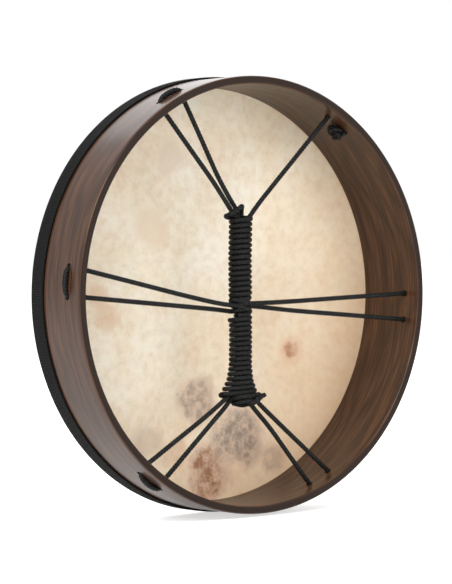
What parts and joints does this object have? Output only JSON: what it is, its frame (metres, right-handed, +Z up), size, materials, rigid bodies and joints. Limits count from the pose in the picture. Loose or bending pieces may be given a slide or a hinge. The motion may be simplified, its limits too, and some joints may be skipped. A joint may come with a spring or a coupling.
{
  "type": "ritual drum",
  "caption": "Round hand-held frame drum with a skin head on a bent wooden hoop, laced across its open back with cord bound into a central grip.",
  "frame": {"origin": "on the drum's axis in the plane of the lacing holes, inside the bound grip", "axes": "+Y towards the struck head, -Y out of the open laced back, +Z up as it is shown, +X to the right seen from the back"},
  "size_m": [0.4168, 0.0797, 0.4094],
  "materials": {
    "stained_wood": "dark walnut stain under a thin satin lacquer",
    "skin": "natural untreated skin, mottled, semi-matt",
    "ribbon": "black grosgrain ribbon",
    "cord": "black braided synthetic cord"
  },
  "bodies": {
    "root": {"hoop": "stained_wood", "head": "skin", "head_lap": "skin", "edge_ribbon": "ribbon", "strand_upper_left_a": "cord", "strand_upper_left_b": "cord", "strand_upper_right": "cord", "strand_left_a": "cord", "strand_left_b": "cord", "strand_lower_left_a": "cord", "strand_lower_left_b": "cord", "strand_lower_right_a": "cord", "strand_lower_right_b": "cord", "strand_right_a": "cord", "strand_right_b": "cord", "bight_upper_right": "cord", "bight_upper_left": "cord", "bight_left": "cord", "bight_lower_left": "cord", "bight_lower_right": "cord", "bight_right": "cord", "core_upper_a": "cord", "core_upper_b": "cord", "core_upper_c": "cord", "binding_lead": "cord", "core_lower_a": "cord", "core_lower_b": "cord", "core_lower_c": "cord", "core_lower_d": "cord", "winding_upper": "cord", "winding_lower": "cord", "end_hitch": "cord", "stopper_knot": "cord"}
  },
  "joints": []
}
